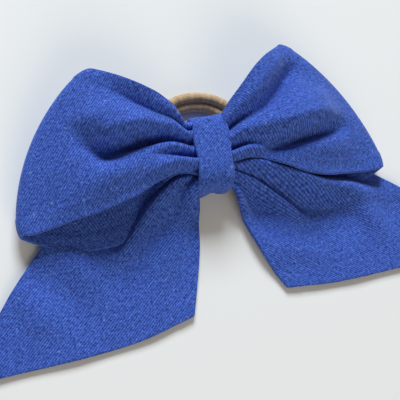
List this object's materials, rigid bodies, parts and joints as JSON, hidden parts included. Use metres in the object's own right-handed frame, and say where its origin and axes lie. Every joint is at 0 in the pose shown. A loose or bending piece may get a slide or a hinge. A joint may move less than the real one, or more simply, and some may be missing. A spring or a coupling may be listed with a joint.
{
  "type": "hair bow",
  "caption": "Fabric hair bow with gathered open loops, pointed tails, a folded centre wrap and a doubled hair elastic behind the knot.",
  "frame": {"origin": "centre of the centre wrap's flat underside", "axes": "+X to the bow's right across both loops, +Y towards the bow's top, +Z out of its face"},
  "size_m": [0.195, 0.0915, 0.0207],
  "materials": {
    "bow_fabric": "plain-woven royal blue linen canvas, matt",
    "thread": "blue sewing thread",
    "elastic_knit": "tan knitted nylon cover",
    "elastic_rubber": "natural rubber thread"
  },
  "bodies": {
    "knot": {"centre_wrap": "bow_fabric", "centre_wrap_lining": "bow_fabric", "wrap_closing_stitches": "thread", "loop_strip_front_middle": "bow_fabric", "loop_strip_back_middle": "bow_fabric", "loop_joining_stitches": "thread", "tail_strip_middle": "bow_fabric", "gathering_thread": "thread"},
    "left_loop": {"left_loop_outer_ply": "bow_fabric", "left_loop_inner_ply": "bow_fabric"},
    "left_tail": {"left_tail_backing_ply": "bow_fabric", "left_tail_face_ply": "bow_fabric", "left_tail_end_stitches": "thread"},
    "right_loop": {"right_loop_outer_ply": "bow_fabric", "right_loop_inner_ply": "bow_fabric"},
    "right_tail": {"right_tail_backing_ply": "bow_fabric", "right_tail_face_ply": "bow_fabric", "right_tail_end_stitches": "thread"},
    "elastic": {"elastic_cover": "elastic_knit", "elastic_core": "elastic_rubber"}
  },
  "joints": [
    {"name": "left_loop_lift", "type": "hinge", "parent": "knot", "child": "left_loop", "pos_m": [-0.00835, 0, 0.01482], "axis": [0, 1, 0], "range_deg": [0, 35]},
    {"name": "left_tail_fold", "type": "hinge", "parent": "knot", "child": "left_tail", "pos_m": [-0.00881, -0.00836, 0.01132], "axis": [0.6884, -0.7254, 0], "range_deg": [0, 30]},
    {"name": "right_loop_lift", "type": "hinge", "parent": "knot", "child": "right_loop", "pos_m": [0.00835, 0, 0.01482], "axis": [0, -1, 0], "range_deg": [0, 35]},
    {"name": "right_tail_fold", "type": "hinge", "parent": "knot", "child": "right_tail", "pos_m": [0.00881, -0.00836, 0.01132], "axis": [0.6884, 0.7254, 0], "range_deg": [0, 30]},
    {"name": "elastic_swing", "type": "hinge", "parent": "knot", "child": "elastic", "pos_m": [0, 0, 0.00596], "axis": [-1, 0, 0], "range_deg": [0, 100]}
  ]
}
